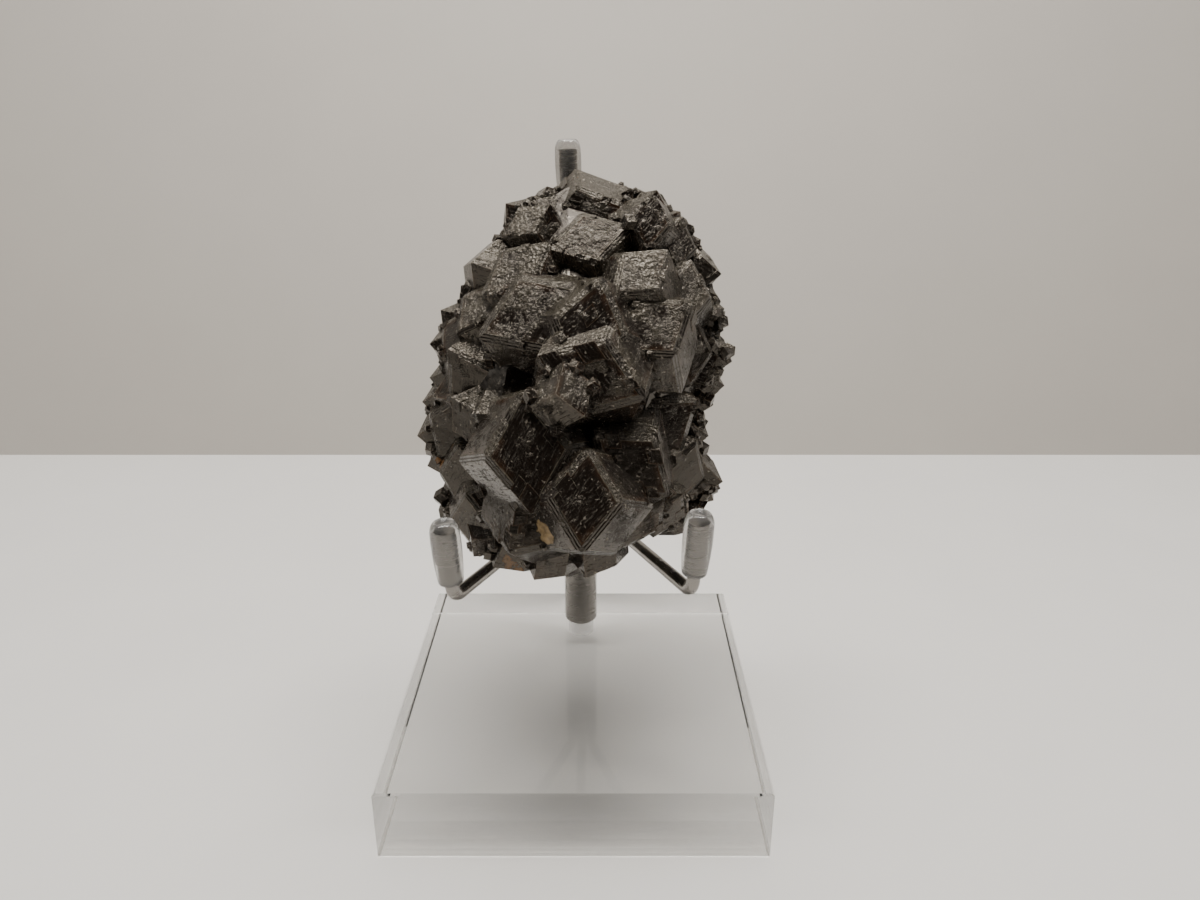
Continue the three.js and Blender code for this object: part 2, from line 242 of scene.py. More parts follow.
for side, (bend, top) in PRONGS.items():
    path = arm_path(bend, top)
    plane = unit(np.cross(path[0] - bend, path[-1] - bend))
    grid = carried(path, plane, np.full(len(path), WIRE_RADIUS), 40)
    caps = np.stack([np.broadcast_to(path[0], grid[0].shape),
                     np.broadcast_to(path[-1], grid[0].shape)])
    grid = np.concatenate([caps[:1], grid, caps[1:]])
    arm_mesh = meshed(side + "_arm", grid.reshape(-1, 3), cells(grid))
    rounded(placed(side + "_wire_arm", arm_mesh, steel, "steel", side + "_arm"), 50)


# The rear arm
# A straight length of the same wire, set into the top of the post and leaning a little to the
# left, so that its sleeve stands behind the top of the specimen.
REAR_FOOT = np.array([0.2, 20.2, POST_TOP + GAP])
REAR_TOP = np.array([-1.4, 20.4, 102.7])

rear_along = unit(REAR_TOP - REAR_FOOT)
rear_length = np.linalg.norm(REAR_TOP - REAR_FOOT) - SLEEVE_WALL_END
rear_profile = [[0, 0], [WIRE_RADIUS, 0], [WIRE_RADIUS, rear_length - GAP], [0, rear_length - GAP]]
rear_grid = revolved(rear_profile, REAR_FOOT, rear_along, 40)
rear_mesh = meshed("rear_arm", rear_grid.reshape(-1, 3), cells(rear_grid))
rounded(placed("rear_wire_arm", rear_mesh, steel, "steel", "rear_arm"), 50)


# The sleeves
# Dip-moulded caps of clear soft vinyl, pushed over the wires so that no steel touches the
# specimen. The closed end is round, with a shallow dimple where the former was.
SLEEVE_RADIUS = 2.2
SLEEVE_LENGTH = 9.8
SLEEVE_BULGE = 0.4
WIDEST = 6.2

# It is stretched tight on the wire, so that no air is left between them
SLEEVE_BORE = WIRE_RADIUS - 0.02
bore_end = SLEEVE_LENGTH - SLEEVE_WALL_END - GAP - 0.01
barrel = np.linspace(0.5, 8.3, 14)
sleeve_profile = np.vstack([
    [[0, bore_end], [SLEEVE_BORE, bore_end], [SLEEVE_BORE, 0.2]],
    arc((SLEEVE_BORE + 0.2, 0.2), 0.2, 180, 270, 5),
    arc((1.4, 0.45), 0.45, -90, -15, 6),
    np.stack([SLEEVE_RADIUS - SLEEVE_BULGE * ((barrel - WIDEST) / WIDEST) ** 2, barrel], 1),
    [[2.06, 8.75], [1.95, 9.1], [1.80, 9.4], [1.64, 9.62], [1.52, 9.74]],
    arc((1.38, 9.66), 0.14, 40, 115, 5),
    [[1.2, 9.74], [0.95, 9.66], [0.65, 9.55], [0.35, 9.47], [0, 9.44]],
])

vinyl, tree, shader, place = started("clear_vinyl")
shader.inputs["Base Color"].default_value = (0.66, 0.65, 0.63, 1)
shader.inputs["IOR"].default_value = 1.53
shader.inputs["Transmission Weight"].default_value = 0.90
cloud = joined(tree, "TexNoise", {"Vector": place, "Scale": 420.0, "Detail": 3.0})
tree.links.new(ranged(tree, cloud.outputs["Fac"], 0.35, 0.7, 0.08, 0.24),
               shader.inputs["Roughness"])
bumped(tree, ranged(tree, cloud.outputs["Fac"], 0.3, 0.7, 0.0, 0.000008), shader)

SLEEVES = {
    "left_sleeve": PRONGS["left"],
    "right_sleeve": PRONGS["right"],
    "rear_sleeve": (REAR_FOOT, REAR_TOP),
}
for name, (below, top) in SLEEVES.items():
    along = unit(top - below)
    grid = revolved(sleeve_profile, top - along * SLEEVE_LENGTH, along, 64)
    sleeve_mesh = meshed(name, grid.reshape(-1, 3), cells(grid))
    rounded(placed("vinyl_" + name, sleeve_mesh, vinyl, "vinyl", name), 50)


# The specimen
# One natural intergrowth of andradite garnet: dodecahedra whose edges are cut by the faces of a
# second form, with smaller crystals grown on them in the same orientation and others, turned
# anyhow, in the hollows between them. Black-brown, glassy, and pitted all over.
#
# Each row is the middle of the face that looks forward (x, y, z), the distance from the
# crystal's centre to its faces, and three angles in degrees: turned to the right, tilted up,
# and rolled.
CRYSTALS = np.array([
    [2.0, -27.0, 58.4, 7.2, 2, 26, 5],
    [-5.8, -23.0, 63.6, 8.7, -6, 20, -8],
    [-3.2, -23.0, 54.5, 8.0, 8, 12, 46],
    [2.9, -20.0, 73.4, 8.0, -2, 12, -70],
    [-6.6, -11.0, 71.8, 8.7, -22, -30, -48],
    [2.6, -16.0, 79.4, 7.5, 0, 24, 13],
    [13.6, -11.0, 63.0, 7.5, 30, 12, 62],
    [8.6, -20.0, 60.5, 7.4, 16, 12, -47],
    [0.6, -22.0, 72.4, 4.0, 22, 34, -8],
    [-3.4, -21.0, 70.6, 3.0, -30, 45, 60],
    [-13.8, -10.0, 67.4, 4.2, -5, 60, 90],
    [-11.1, -12.0, 67.4, 3.6, 10, 50, 60],
    [-15.4, -7.5, 69.0, 6.0, -14, -2, -31],
    [-3.7, -10.0, 81.4, 4.3, -10, 50, -87],
    [9.9, -9.2, 85.8, 5.6, 5, 38, 50],
    [2.5, -3.2, 89.8, 6.4, -5, 40, 72],
    [2.0, 4.0, 92.0, 6.4, -3, 15, 74],
    [11.3, -2.0, 91.8, 4.6, 10, 25, 10],
    [-7.1, 2.0, 91.7, 4.4, -30, 40, 45],
    [-8.4, -5.0, 85.6, 6.5, -25, 40, 40],
    [-14.3, -3.5, 79.8, 5.5, -30, 40, 20],
    [-18.0, -3.0, 75.4, 4.6, -35, 25, 20],
    [-19.0, -7.0, 61.4, 6.0, -25, 5, 20],
    [-17.3, -11.0, 55.1, 5.4, -25, 0, 0],
    [-15.6, -14.0, 49.0, 5.4, -25, -10, 0],
    [-8.8, -18.0, 45.0, 3.8, -8, -10, 60],
    [-3.2, -18.5, 43.9, 3.8, 0, -15, 45],
    [4.0, -18.5, 45.2, 4.2, 8, -15, 30],
    [9.9, -17.0, 50.4, 6.0, 20, -15, 30],
    [18.0, -5.0, 73.1, 5.5, 30, 10, 10],
    [11.8, -12.4, 78.6, 7.0, 12, 30, 60],
    [17.4, -4.0, 82.0, 5.5, 30, 30, 20],
    [16.0, 1.0, 88.4, 4.5, 30, 25, 20],
    [17.1, -10.0, 55.1, 5.5, 30, 0, 20],
    [14.3, -12.0, 49.0, 4.8, 20, -20, 20],
])
RIM_CRYSTALS = np.array([
    [7.7, 7.5, 93.6, 2.6, 10, 10, 30],
    [12.5, 5.9, 92.5, 3.4, 15, 20, 10],
    [15.1, 5.9, 90.4, 2.8, 20, 20, 40],
    [16.4, 5.7, 89.2, 2.2, 20, 10, 60],
    [17.7, 4.8, 86.4, 3.0, 20, 10, 50],
    [18.5, 4.6, 84.8, 2.4, 10, 10, 70],
    [19.7, 2.9, 83.5, 3.6, 25, 5, 95],
    [20.4, 2.6, 79.6, 2.2, 20, 5, 80],
    [21.3, 1.5, 77.1, 2.8, 30, 5, 70],
    [21.4, 1.3, 75.9, 2.4, 20, 0, 100],
    [21.7, -0.8, 71.3, 2.6, 20, 0, 70],
    [21.4, -0.8, 70.4, 3.6, 20, -5, 95],
    [21.4, -1.9, 66.7, 2.6, 30, 0, 95],
    [19.7, -2.3, 64.0, 2.4, 20, 0, 100],
    [18.7, -2.9, 61.2, 2.0, 20, 0, 90],
    [18.6, -3.8, 59.1, 2.8, 20, 0, 95],
    [20.3, -6.4, 52.5, 3.6, 25, 5, 100],
    [19.9, -6.9, 50.4, 2.8, 20, -10, 120],
    [16.6, -10.1, 46.8, 3.0, 20, -10, 120],
    [-4.4, 7.2, 93.3, 3.0, -10, 20, 0],
    [-8.6, 5.8, 91.2, 3.6, -20, 20, -45],
    [-8.8, 5.2, 88.9, 3.0, -20, 10, -80],
    [-11.2, 3.4, 83.4, 3.4, -20, 20, -60],
    [-16.3, 2.3, 79.2, 3.2, -25, 20, -40],
    [-18.9, 1.2, 75.7, 3.4, -25, 15, -50],
    [-19.6, 0.1, 72.5, 3.4, -20, 10, -85],
    [-20.0, -1.9, 67.1, 3.4, -30, 0, -80],
    [-21.5, -2.8, 64.0, 3.0, -30, 0, -90],
    [-21.4, -4.2, 58.9, 3.8, -20, 0, -90],
    [-21.0, -5.6, 55.3, 3.0, -30, 0, -110],
    [-18.6, -7.0, 49.4, 3.4, -20, 0, -95],
    [-18.1, -8.9, 47.3, 3.0, -20, -10, -120],
    [-13.5, -15.5, 45.6, 3.0, -10, -20, -140],
])
# The faces that cut the edges are this much further out, on crystals of this size or larger
BEVEL = 1.11
BEVELLED_FROM = 4.3
# The unseen back
BACK_COUNT = 32
BACK_RADII = np.array([20.5, 15.5, 28.0])
BACK_CENTRE = np.array([0.5, -1.0, 67.5])
BACK_SIZES = (4.2, 7.0)
MASS_LEAN = 0.27


def scatter(index, step):
    """A steady stand-in for chance: the fractional part of a multiple of a number."""
    return (index * step) % 1


def back_rows():
    """A sunflower pattern on the rear half of an ellipsoid that leans back: the depth rises
    evenly and the golden angle goes round, and each crystal looks outwards, turned a little."""
    index = np.arange(BACK_COUNT)
    depth = (index + 0.5) / BACK_COUNT
    around = index * np.pi * (3 - np.sqrt(5))
    level = np.sqrt(1 - depth ** 2)
    out = np.stack([level * np.cos(around), depth, level * np.sin(around)], 1)
    turn = np.degrees(np.arctan2(out[:, 0], -out[:, 1])) + 40 * (scatter(index, 0.618) - 0.5)
    tilt = np.degrees(np.arcsin(out[:, 2])) + 40 * (scatter(index, 0.755) - 0.5)
    size = BACK_SIZES[0] + (BACK_SIZES[1] - BACK_SIZES[0]) * scatter(index, 0.382)
    place = BACK_CENTRE + BACK_RADII * out
    place[:, 1] += MASS_LEAN * BACK_RADII[2] * out[:, 2]
    return np.column_stack([place, size, turn, tilt, 180 * scatter(index, 0.571)])


def poses(rows):
    """Crystal axes to the row's axes: a face forward with its long diagonal upright, then
    rolled about Y, tilted about X and turned about Z."""
    turn, tilt, roll = np.radians(rows[:, 4:7]).T
    zero, one = np.zeros_like(turn), np.ones_like(turn)
    rolled = np.stack([np.cos(roll), zero, np.sin(roll), zero, one, zero,
                       -np.sin(roll), zero, np.cos(roll)], 1).reshape(-1, 3, 3)
    tilted = np.stack([one, zero, zero, zero, np.cos(tilt), np.sin(tilt),
                       zero, -np.sin(tilt), np.cos(tilt)], 1).reshape(-1, 3, 3)
    turned = np.stack([np.cos(turn), -np.sin(turn), zero, np.sin(turn), np.cos(turn), zero,
                       zero, zero, one], 1).reshape(-1, 3, 3)
    half = np.sqrt(0.5)
    forward = np.array([[0, 0, 1], [-half, -half, 0], [half, -half, 0]])
    return turned @ tilted @ rolled @ forward


AXES = np.eye(3)
SIGNS = (-1, 1)


def rhombs(scale, steps):
    """The 12 faces of a dodecahedron one unit from its centre, as grids of s and t from -1 to 1:
    normal + scale * ((s + t) / 2 * long + (s - t) / 2 * short). Also returns s and t."""
    s, t = np.meshgrid(np.linspace(-1, 1, steps + 1), np.linspace(-1, 1, steps + 1), indexing="ij")
    faces = []
    for i, j, k in ((0, 1, 2), (0, 2, 1), (1, 2, 0)):
        for p in SIGNS:
            for q in SIGNS:
                normal = (p * AXES[i] + q * AXES[j]) / np.sqrt(2)
                long = (p * AXES[i] - q * AXES[j]) / np.sqrt(2)
                short = AXES[k] / np.sqrt(2)
                faces.append(normal + scale * ((s + t)[..., None] / 2 * long
                                               + (s - t)[..., None] / 2 * short))
    grid = np.array(faces)
    mark = np.broadcast_to(np.stack([s, t], -1), grid.shape[:-1] + (2,))
    return grid, mark


def strips(scale, steps):
    """The 24 bevels, one along each edge: a grid from the shrunken face on one side, over the
    ridge between the corners, to the face on the other. The mark is the place across and along."""
    along = np.linspace(0, 1, steps + 1)[:, None]
    bands = []
    for i in range(3):
        j, k = (i + 1) % 3, (i + 2) % 3
        for p in SIGNS:
            for q in SIGNS:
                for r in SIGNS:
                    head, side, rest = p * AXES[i], q * AXES[j], r * AXES[k]
                    near = ((head + side) + scale * (head - side),
                            (head + side) + scale * rest)
                    ridge = (BEVEL * np.sqrt(3) * head,
                             BEVEL * np.sqrt(3) / 2 * (head + side + rest))
                    far = ((head + rest) + scale * (head - rest),
                           (head + rest) + scale * side)
                    bands.append([start + along * (end - start)
                                  for start, end in (near, ridge, far)])
    grid = np.array(bands) / np.sqrt(2)
    lengthwise = grid[:, 1, -1] - grid[:, 1, 0]
    crosswise = grid[:, 2, 0] - grid[:, 0, 0]
    middle = grid.mean((1, 2), keepdims=True)
    mark = np.stack([np.einsum("fabc,fc->fab", grid - middle, unit(crosswise)),
                     np.einsum("fabc,fc->fab", grid - middle, unit(lengthwise))], -1)
    return grid, mark


def grown(centres, sizes, turns, shape, kind, tones):
    """Puts one shape of many faces at each crystal: centre + size * (turn x point). Returns the
    grids and two marks: (place on the face, size) and (kind of face, tone, roughness and
    painted top light), the last of which is greater on faces that look up."""
    grid, mark = shape
    points = np.einsum("nij,fabj->nfabi", turns, grid) * sizes[:, None, None, None, None]
    points = points + centres[:, None, None, None, :]
    middle = points.mean((2, 3)) - centres[:, None, :]
    facing = np.cross(points[:, :, -1, 0] - points[:, :, 0, 0],
                      points[:, :, 0, -1] - points[:, :, 0, 0])
    inward = np.einsum("nfi,nfi->nf", facing, middle) < 0
    full = points.shape[:-1]
    marks = np.broadcast_to(mark, full + (2,))
    size = np.broadcast_to(sizes[:, None, None, None], full)
    tone = np.broadcast_to(tones[:, None, None, None], full)
    growth = np.concatenate([marks, size[..., None]], -1)
    upward = np.where(inward, -1, 1) * unit(facing)[..., 2]
    # Where the surface is rough, and where top light is painted into the colour: more on faces that
    # look up
    rough_and_top_lit = 0.35 * chance.random(full[:2]) + 0.65 * np.clip((upward - 0.4) / 0.4, 0, 1)
    own = np.broadcast_to(rough_and_top_lit[..., None, None], full)
    habit = np.stack([np.full(full, float(kind)), tone, own], -1)
    flat = [a.reshape((-1,) + a.shape[2:]) for a in (points, growth, habit)]
    turn_over = inward.reshape(-1)
    for a in flat:
        a[turn_over] = a[turn_over][:, ::-1]
    return flat


chance = np.random.default_rng(7)
rows = np.vstack([CRYSTALS, RIM_CRYSTALS, back_rows()])
pose = poses(rows)
# The face that looks forward, in the crystal's own axes
NORMAL = np.array([1, 1, 0]) / np.sqrt(2)
forward = np.einsum("nij,j->ni", pose, NORMAL)
sizes = rows[:, 3]
centres = rows[:, :3] - sizes[:, None] * forward
tones = chance.random(len(rows))
bevelled = sizes >= BEVELLED_FROM
bevelled[len(CRYSTALS) + len(RIM_CRYSTALS):] = False
# How much of a face the bevels round it leave
SHRINK = 2 * (BEVEL - np.sqrt(0.75)) * np.sqrt(3)
STEPS = 5
# Kinds of face, kept in the mesh for the material
FLAT, BAND, MASSIVE = 0, 1, 2

patches = []
for chosen, shape, kind in ((bevelled, rhombs(SHRINK, STEPS), FLAT),
                            (bevelled, strips(SHRINK, STEPS), BAND),
                            (~bevelled, rhombs(1.0, STEPS), FLAT)):
    patches.append(grown(centres[chosen], sizes[chosen], pose[chosen], shape, kind,
                         tones[chosen]))

# Crystals grown on in the same orientation: each would touch its parent's faces from within,
# and stands out from them by a little
OUTGROWTHS = 18
OUTGROWTH_SHARE = (0.05, 0.3)
OUTGROWTH_RISE = (0.02, 0.16)
# From a crystal's centre to its farthest corner, for each unit from centre to face
CORNER_REACH = 1.42


def spots(count):
    """Random points on a dodecahedron one unit from its centre, most of them on its edges."""
    grid, _ = rhombs(1.0, 1)
    face = chance.integers(0, 12, count)
    s, t = chance.uniform(-1, 1, (2, count))
    s = np.where(chance.random(count) < 0.8, np.sign(s), s)
    corner = grid[face]
    middle = corner.mean((1, 2))
    one = (corner[:, 1, 0] - corner[:, 0, 0]) / 2
    other = (corner[:, 0, 1] - corner[:, 0, 0]) / 2
    return middle + s[:, None] * one + t[:, None] * other


parent = np.repeat(np.arange(len(rows)), OUTGROWTHS)
share = chance.uniform(*OUTGROWTH_SHARE, len(parent))
rise = chance.uniform(*OUTGROWTH_RISE, len(parent)) * np.sqrt(sizes[parent] / 7)
own = share * sizes[parent]
away = np.einsum("nij,nj->ni", pose[parent], spots(len(parent)))
young = centres[parent] + (sizes[parent] - own + rise)[:, None] * away


# Small crystals turned anyhow, in the hollows where large ones meet: of that many tried, some
# are neither buried nor clear of every other crystal, and the first of those are kept
SMALL_COUNT = 9000
SMALL_KEPT = 520
HOLLOW = (-0.7, 0.1)
SMALL_SIZES = (0.4, 1.15)


def depth_in(points, skip):
    """How far each point lies inside the nearest crystal other than its own, in millimetres:
    the least of size - (point - centre) . normal over a crystal's faces, greatest over all."""
    grid, _ = rhombs(1.0, 1)
    normals = np.einsum("nij,fj->nfi", pose, grid.mean((1, 2)))
    deepest = np.full(len(points), -99.0)
    for n in range(len(rows)):
        inside = (sizes[n] - (points - centres[n]) @ normals[n].T).min(1)
        deepest = np.maximum(deepest, np.where(skip == n, -99.0, inside))
    return deepest


host = chance.integers(0, len(rows), SMALL_COUNT)
seat = np.einsum("nij,nj->ni", pose[host], spots(SMALL_COUNT))
seat = centres[host] + sizes[host][:, None] * seat
hidden = depth_in(seat, host)
hollow = (hidden < HOLLOW[1]) & (hidden > HOLLOW[0])
seat = seat[hollow][:SMALL_KEPT]
small_sizes = SMALL_SIZES[0] + (SMALL_SIZES[1] - SMALL_SIZES[0]) * chance.random(len(seat)) ** 2
random_rows = np.column_stack([seat, small_sizes, chance.uniform(-180, 180, (len(seat), 3))])


# The specimen keeps clear of the wires and sleeves by the gap
STAND_LINES = [
    (REAR_FOOT, REAR_TOP, WIRE_RADIUS + GAP),
    (REAR_TOP - unit(REAR_TOP - REAR_FOOT) * SLEEVE_LENGTH, REAR_TOP, SLEEVE_RADIUS + GAP),
]
for bend, top in PRONGS.values():
    STAND_LINES.append((arm_path(bend, top)[0], bend, WIRE_RADIUS + GAP))
    STAND_LINES.append((top - unit(top - bend) * SLEEVE_LENGTH, top, SLEEVE_RADIUS + GAP))


def off_line(points, start, end):
    """The shortest way from a line to each point, and its length."""
    along = end - start
    share = np.clip((points - start) @ along / (along @ along), 0, 1)
    way = points - start - share[..., None] * along
    return way, np.linalg.norm(way, axis=-1)


def cleared(points):
    """Points closer to a wire or a sleeve than they may be move straight away from its line."""
    for start, end, room in STAND_LINES:
        way, distance = off_line(points, start, end)
        push = np.clip(room + 0.03 - distance, 0, None) / np.maximum(distance, 1e-6)
        points = points + way * push[..., None]
    return points


def free(points, reach):
    """True for the crystals of that reach that touch no wire or sleeve."""
    clear = np.ones(len(points), bool)
    for start, end, room in STAND_LINES:
        clear &= off_line(points, start, end)[1] > room + reach
    return clear


kept = free(young, own * CORNER_REACH)
patches.append(grown(young[kept], own[kept], pose[parent[kept]], rhombs(1.0, 1), FLAT,
                     tones[parent[kept]]))
kept = free(seat, small_sizes * CORNER_REACH)
patches.append(grown(seat[kept], small_sizes[kept], poses(random_rows[kept]), rhombs(1.0, 1), FLAT,
                     chance.random(kept.sum())))

# The massive garnet that the crystals grew from: an outline in x and z, shrunk towards the
# front and the back and leaning back
MASS_RIM = np.array([
    [-1, 96], [8, 94], [12, 93], [15.5, 90.5], [19, 84.5], [21, 80], [22, 75], [22, 70],
    [19.5, 62.5], [19.5, 57.5], [21, 52.5], [17.5, 47], [12, 44], [5.5, 42.5], [-4.5, 41.8],
    [-13, 43], [-19.5, 48.5], [-22, 57.5], [-22, 64.5], [-20.5, 72], [-19.5, 77], [-13, 83],
    [-10.5, 89], [-4.5, 94],
])
MASS_CENTRE = np.array([0.5, 67.0])
MASS_LEVELS = np.array([[-12, 0.001], [-12, 0.5], [-6, 0.78], [0, 1], [4, 0.84], [8.5, 0.48],
                        [8.5, 0.001]])


def mass_grid():
    """The rim goes round once on each level: x = cx + shrink * (x - cx), z likewise, and
    y = level + lean * (z - cz)."""
    rim = np.vstack([MASS_RIM, MASS_RIM[:1]])
    fine = np.linspace(0, len(MASS_RIM), 4 * len(MASS_RIM) + 1)
    rim = np.stack([np.interp(fine, np.arange(len(rim)), rim[:, i]) for i in (0, 1)], 1)
    offset = (rim - MASS_CENTRE)[None] * MASS_LEVELS[:, 1, None, None]
    y = MASS_LEVELS[:, 0, None] + MASS_LEAN * offset[..., 1]
    return np.stack([MASS_CENTRE[0] + offset[..., 0], y, MASS_CENTRE[1] + offset[..., 1]], -1)


mass = mass_grid()[None]
patches.append([mass, np.broadcast_to([0.0, 0.0, 5.0], mass.shape),
                np.broadcast_to([MASSIVE, 0.5, 0.0], mass.shape)])

points, growth, habit, triangles = [], [], [], []
start = 0
for grid, grid_growth, grid_habit in patches:
    points.append(cleared(grid.reshape(-1, 3)))
    growth.append(grid_growth.reshape(-1, 3))
    habit.append(grid_habit.reshape(-1, 3))
    triangles.append(cells(grid) + start)
    start += len(points[-1])
cluster_mesh = meshed("andradite_cluster", np.vstack(points), np.vstack(triangles),
                      {"growth": np.vstack(growth), "habit": np.vstack(habit)})

garnet, tree, shader, place = started("andradite")
shader.inputs["IOR"].default_value = 1.62
shader.inputs["Specular Tint"].default_value = (1.0, 0.90, 0.76, 1)
place_on_face = joined(tree, "Attribute", {}, attribute_name="growth").outputs["Vector"]
kind_of_face = joined(tree, "Attribute", {}, attribute_name="habit").outputs["Vector"]
face = joined(tree, "SeparateXYZ", {"Vector": place_on_face}).outputs
sort = joined(tree, "SeparateXYZ", {"Vector": kind_of_face}).outputs


def fed(sockets, values):
    """Gives each socket its number, or its link from another node."""
    for socket, value in zip(sockets, values):
        if isinstance(value, bpy.types.NodeSocket):
            tree.links.new(value, socket)
        else:
            socket.default_value = value


def maths(operation, *values):
    """One arithmetic step on numbers or links."""
    made = tree.nodes.new("ShaderNodeMath")
    made.operation = operation
    fed(made.inputs, values)
    return made.outputs["Value"]


def mixed(factor, first, second):
    """One colour blended into another."""
    made = joined(tree, "Mix", {}, data_type="RGBA")
    fed((made.inputs[0], made.inputs[6], made.inputs[7]), (factor, first, second))
    return made.outputs[2]


def noise(scale, detail=4.0, rough=0.6):
    """Soft random cloudiness between 0 and 1, with that many lumps to the metre."""
    made = joined(tree, "TexNoise", {"Vector": place, "Scale": scale, "Detail": detail,
                                     "Roughness": rough})
    return made.outputs["Fac"]


# How near the border of its face a point lies: 0 in the middle, 1 on the border
border = maths("MAXIMUM", maths("ABSOLUTE", face["X"]), maths("ABSOLUTE", face["Y"]))
flat_face = maths("LESS_THAN", sort["X"], 0.5)
band_face = maths("MULTIPLY", maths("GREATER_THAN", sort["X"], 0.5),
                  maths("LESS_THAN", sort["X"], 1.5))
cloud = noise(160.0)
fine_cloud = noise(900.0, 5.0, 0.65)
grains = joined(tree, "TexVoronoi", {"Vector": place, "Scale": 2000.0}).outputs
pits = joined(tree, "TexVoronoi", {"Vector": place, "Scale": 900.0, "Randomness": 1.0}).outputs

# Growth steps: terraces that follow the outline of the face, ragged with the cloudiness
terrace = maths("MULTIPLY", maths("MULTIPLY", border, face["Z"]), 1.1)
terrace = maths("ADD", terrace, maths("MULTIPLY", cloud, 3.0))
terrace = maths("MULTIPLY", maths("FLOOR", terrace), flat_face)
# Striations along the bevels
lines = maths("ADD", maths("MULTIPLY", maths("MULTIPLY", face["X"], face["Z"]), 13.0),
              maths("MULTIPLY", fine_cloud, 5.0))
lines = maths("MULTIPLY", maths("SINE", lines), band_face)
# Streaks that run along one edge of the face, where the growth stopped and started
lengthways = maths("MULTIPLY", maths("MULTIPLY", face["X"], face["Z"]), 0.35)
sideways = maths("MULTIPLY", maths("MULTIPLY", face["Y"], face["Z"]), 2.2)
streak_place = joined(tree, "CombineXYZ", {"X": lengthways, "Y": sideways,
                                           "Z": maths("MULTIPLY", sort["Y"], 9.0)})
streaks = joined(tree, "TexNoise", {"Vector": streak_place.outputs["Vector"], "Scale": 1.3,
                                    "Detail": 4.0, "Roughness": 0.62}).outputs["Fac"]
streak = ranged(tree, streaks, 0.58, 0.68, 0.0, 1.0)
# Where the surface is rough: on some faces more than on others, more on faces that look up,
# along the streaks and bevels, and more towards the top of the specimen. The same mask blends
# olive-grey into the colour below: partly the look of the rough surface, partly painted top light.
level = joined(tree, "SeparateXYZ", {"Vector": place}).outputs["Z"]
upper = ranged(tree, level, 0.066, 0.086, 0.0, 0.10)
rough = maths("ADD", noise(330.0, 5.0, 0.7),
              maths("MULTIPLY", maths("SUBTRACT", sort["Z"], 0.5), 0.30))
rough = maths("ADD", rough, maths("ADD", upper, maths("MULTIPLY", streak, 0.08)))
rough = maths("ADD", rough, maths("MULTIPLY", band_face, 0.05))
rough = ranged(tree, rough, 0.50, 0.66, 0.04, 1.0)

# Heights in metres: grain where the surface is rough, then terraces, striations, pits, a
# slight unevenness, and streaks
pitted = ranged(tree, pits["Distance"], 0.0, 0.3, 1.0, 0.0)
relief = maths("ADD", maths("MULTIPLY", grains["Distance"], 0.00013),
               maths("MULTIPLY", fine_cloud, 0.00022))
height = maths("MULTIPLY", relief, rough)
for part, metres in ((terrace, -0.00002), (lines, 0.00003), (pitted, -0.00004),
                     (noise(240.0, 2.0), 0.00022), (streak, 0.00006)):
    height = maths("ADD", height, maths("MULTIPLY", part, metres))
bumped(tree, height, shader)

DARK = (0.008, 0.0055, 0.004, 1)
RED_BROWN = (0.040, 0.020, 0.010, 1)
OLIVE = (0.036, 0.031, 0.021, 1)
GREY = (0.10, 0.09, 0.068, 1)
PALE = (0.42, 0.38, 0.31, 1)
OCHRE = (0.34, 0.19, 0.075, 1)
# Painted glow of light shining through thin edges: red-brown near the border of each flat face
painted_edge_glow = maths("MULTIPLY", ranged(tree, border, 0.72, 1.0, 0.0, 1.0), flat_face)
painted_edge_glow = maths("MULTIPLY", painted_edge_glow, ranged(tree, cloud, 0.42, 0.6, 0.0, 0.9))
body = mixed(painted_edge_glow, DARK, RED_BROWN)
# Painted top light, partly: olive-grey where the rough mask is high, most on faces that look up and
# towards the top
body = mixed(maths("MULTIPLY", rough, 0.75), body, OLIVE)
# Painted highlight: a grey line along the border of each flat face
edge = maths("MULTIPLY", ranged(tree, border, 0.955, 0.985, 0.0, 1.0), flat_face)
edge = maths("MULTIPLY", edge, ranged(tree, fine_cloud, 0.4, 0.6, 0.1, 0.9))
body = mixed(edge, body, GREY)
body = mixed(maths("MULTIPLY", streak, 0.16), body, GREY)
# Painted glints: pale specks on the grain and along the streaks
painted_glints = maths("ADD", grains["Distance"], maths("MULTIPLY", streak, 0.2))
body = mixed(ranged(tree, painted_glints, 0.86, 0.98, 0.0, 0.5), body, PALE)
body = mixed(ranged(tree, noise(95.0, 6.0, 0.7), 0.71, 0.76, 0.0, 0.85), body, OCHRE)


def near(point, radius):
    """1 close to a point given in millimetres and 0 beyond the radius, with a ragged border."""
    offset = joined(tree, "VectorMath", {}, operation="DISTANCE")
    tree.links.new(place, offset.inputs[0])
    offset.inputs[1].default_value = [0.001 * value for value in point]
    ragged = maths("ADD", maths("MULTIPLY", offset.outputs["Value"], 1000.0 / radius),
                   maths("MULTIPLY", maths("SUBTRACT", noise(520.0, 5.0), 0.5), 1.6))
    return ranged(tree, ragged, 0.82, 0.96, 1.0, 0.0)


# Painted sparkle: patches of pale specks mixed into the colour, each a place and a radius
painted_sparkle_patches = near((9.6, -9.6, 87.2), 4.6)
for patch in (((-1.7, -22.0, 71.9), 3.2), ((-12.2, -11.5, 68.1), 3.2), ((-7.2, 1.0, 92.2), 3.4),
              ((5.0, -21.0, 66.1), 2.2), ((-15.3, -6.0, 73.5), 2.4)):
    painted_sparkle_patches = maths("MAXIMUM", painted_sparkle_patches, near(*patch))
painted_sparkle = maths("MULTIPLY", painted_sparkle_patches, ranged(tree, noise(1100.0, 7.0, 0.8), 0.55, 0.70, 0.04, 0.72))
body = mixed(painted_sparkle, body, PALE)
